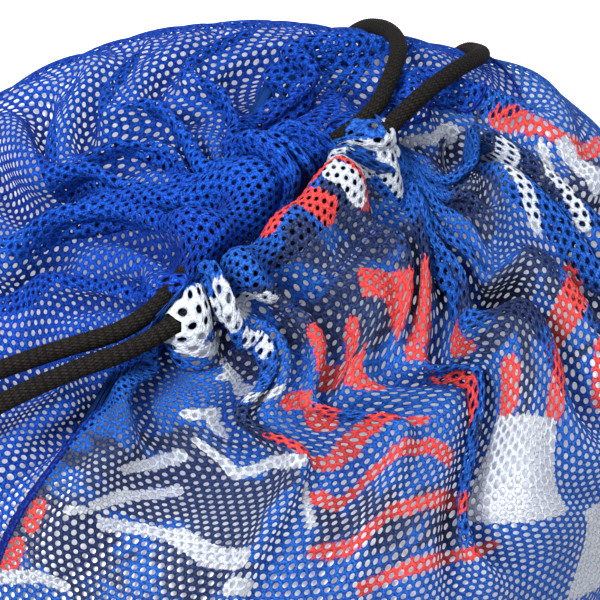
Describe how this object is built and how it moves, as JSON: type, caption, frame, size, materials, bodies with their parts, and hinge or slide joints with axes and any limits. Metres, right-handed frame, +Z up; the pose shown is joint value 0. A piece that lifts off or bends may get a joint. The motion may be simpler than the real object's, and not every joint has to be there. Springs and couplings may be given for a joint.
{
  "type": "mesh ball bag",
  "caption": "Drawstring mesh ball bag standing stuffed with its mouth drawn shut, cords over the shoulders to eyelets in the bottom corners.",
  "frame": {"origin": "centre of the flat base", "axes": "+Z up out of the mouth, +X along the mouth slit from the left corner to the right one, -Y towards the printed front"},
  "size_m": [0.348, 0.28, 0.4322],
  "materials": {
    "printed_mesh": "printed polyester mesh, brush strokes and blocks in blue, navy, white and coral",
    "blue_mesh": "royal blue polyester mesh with round holes, slight sheen",
    "packing": "matt pale sheet",
    "black_cord": "braided polyester cord",
    "black_webbing": "ribbed woven webbing",
    "eyelet_metal": "nickel plated, satin",
    "thread": "polyester sewing thread"
  },
  "bodies": {
    "bag": {"front_panel": "printed_mesh", "back_panel": "blue_mesh", "left_side_seam": "blue_mesh", "right_side_seam": "blue_mesh", "bottom_seam": "blue_mesh", "packing_sheet": "packing", "left_tab_stitching": "thread", "right_tab_stitching": "thread", "left_corner_tab": "black_webbing", "right_corner_tab": "black_webbing", "left_eyelet": "eyelet_metal", "right_eyelet": "eyelet_metal", "left_eyelet_washer": "eyelet_metal", "right_eyelet_washer": "eyelet_metal", "left_cord_turn": "black_cord", "right_cord_turn": "black_cord", "left_cord_front_run": "black_cord", "left_cord_back_run": "black_cord", "right_cord_front_run": "black_cord", "right_cord_back_run": "black_cord", "left_knot": "black_cord", "right_knot": "black_cord"},
    "front_lip": {"front_casing": "printed_mesh", "front_casing_cords": "black_cord", "front_casing_stitching": "thread"},
    "back_lip": {"back_casing": "blue_mesh", "back_casing_cords": "black_cord", "back_casing_stitching": "thread"}
  },
  "joints": [
    {"name": "front_lip_open", "type": "hinge", "parent": "bag", "child": "front_lip", "pos_m": [0, -0.0152, 0.415], "axis": [1, 0, 0], "range_deg": [0, 40], "deforming": ["left_cord_front_run", "right_cord_front_run", "left_cord_turn"]},
    {"name": "back_lip_open", "type": "hinge", "parent": "bag", "child": "back_lip", "pos_m": [0, 0.0152, 0.415], "axis": [1, 0, 0], "range_deg": [-40, 0], "deforming": ["left_cord_back_run", "right_cord_back_run", "right_cord_turn"]}
  ],
  "couplings": [
    {"joint": "back_lip_open", "follows": "front_lip_open", "ratio": -1}
  ]
}
